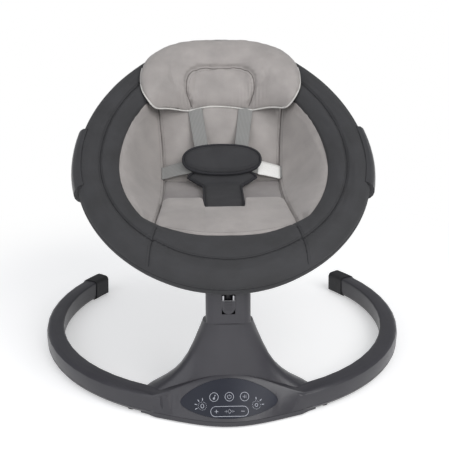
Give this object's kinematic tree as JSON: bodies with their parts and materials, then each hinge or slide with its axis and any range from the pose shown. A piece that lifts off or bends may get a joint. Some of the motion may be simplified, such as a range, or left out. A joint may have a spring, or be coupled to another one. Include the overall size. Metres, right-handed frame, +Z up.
{
  "type": "baby swing",
  "caption": "Electric baby swing: dark C-shaped floor base with a pedestal and touch panel, carrying a tilted oval padded seat ring with harness and head pillow.",
  "frame": {"origin": "on the floor, under the middle of the overall width and length", "axes": "+X to the sitter's left, along the overall width; -Y to the front, where the control panel is; +Z up"},
  "size_m": [0.71, 0.59, 0.5779],
  "materials": {
    "base_plastic": "fine satin grain",
    "dark_plastic": "satin",
    "soft_rubber": "matt",
    "panel_lens": "glossy",
    "board": "solder-masked",
    "bright_steel": "turned",
    "ring_steel": "satin",
    "motor_can": "zinc plated",
    "ring_cloth": "fine woven polyester",
    "liner_cloth": "satin woven",
    "pad_cloth": "woven",
    "webbing": "woven webbing",
    "label_cloth": "printed satin tape, left blank",
    "button_grey": "satin"
  },
  "bodies": {
    "base": {"base_upper_shell": "base_plastic", "base_lower_shell": "base_plastic", "tip_cap_left": "soft_rubber", "tip_cap_right": "soft_rubber", "rubber_feet": "soft_rubber", "control_lens": "panel_lens", "control_board": "board", "speaker": "dark_plastic", "power_jack": "dark_plastic", "gear_motor": "motor_can", "motor_bracket": "dark_plastic", "bearing_carrier": "bright_steel", "bearing_upper": "bright_steel", "bearing_lower": "bright_steel", "carrier_screws": "bright_steel", "base_screws": "bright_steel"},
    "pinion": {"drive_pinion": "bright_steel"},
    "swing": {"sector_gear": "bright_steel", "swing_shaft": "bright_steel", "shaft_ring": "bright_steel", "neck_collar": "base_plastic", "seat_bracket": "base_plastic", "bracket_screws": "bright_steel", "lower_ring_tube": "ring_steel", "upper_ring_tube": "ring_steel", "tube_joint_left": "dark_plastic", "tube_joint_right": "dark_plastic", "side_cover_left": "dark_plastic", "side_cover_right": "dark_plastic", "side_screws": "bright_steel", "ring_cover": "ring_cloth", "seat_sling": "ring_cloth", "back_cushion": "liner_cloth", "seat_cushion": "liner_cloth", "wing_left": "liner_cloth", "wing_right": "liner_cloth", "head_pillow": "liner_cloth", "shoulder_strap_left": "webbing", "shoulder_strap_right": "webbing", "waist_strap_left": "webbing", "waist_strap_right": "webbing", "belly_pad": "pad_cloth", "crotch_pad": "pad_cloth", "buckle": "dark_plastic", "care_tag": "label_cloth"},
    "release_latch": {"release_button": "base_plastic", "latch_plate": "bright_steel", "release_spring": "bright_steel"},
    "buckle_release": {"buckle_button": "button_grey"}
  },
  "joints": [
    {"name": "swing", "type": "hinge", "parent": "base", "child": "swing", "pos_m": [0, -0.20703, 0.162], "axis": [0, 0.1736, 0.9848], "range_deg": [-30, 30]},
    {"name": "pinion_spin", "type": "hinge", "parent": "base", "child": "pinion", "pos_m": [0, -0.16947, 0.06399], "axis": [0, 0.1736, 0.9848], "range_deg": [-91, 91]},
    {"name": "release_press", "type": "slide", "parent": "swing", "child": "release_latch", "axis": [0, 0.9848, -0.1736], "range_m": [0, 0.0036], "stiffness_N_per_m": 900},
    {"name": "buckle_press", "type": "slide", "parent": "swing", "child": "buckle_release", "axis": [0, 0.8355, -0.5495], "range_m": [0, 0.0014], "stiffness_N_per_m": 900}
  ],
  "couplings": [
    {"joint": "pinion_spin", "follows": "swing", "ratio": -3}
  ]
}
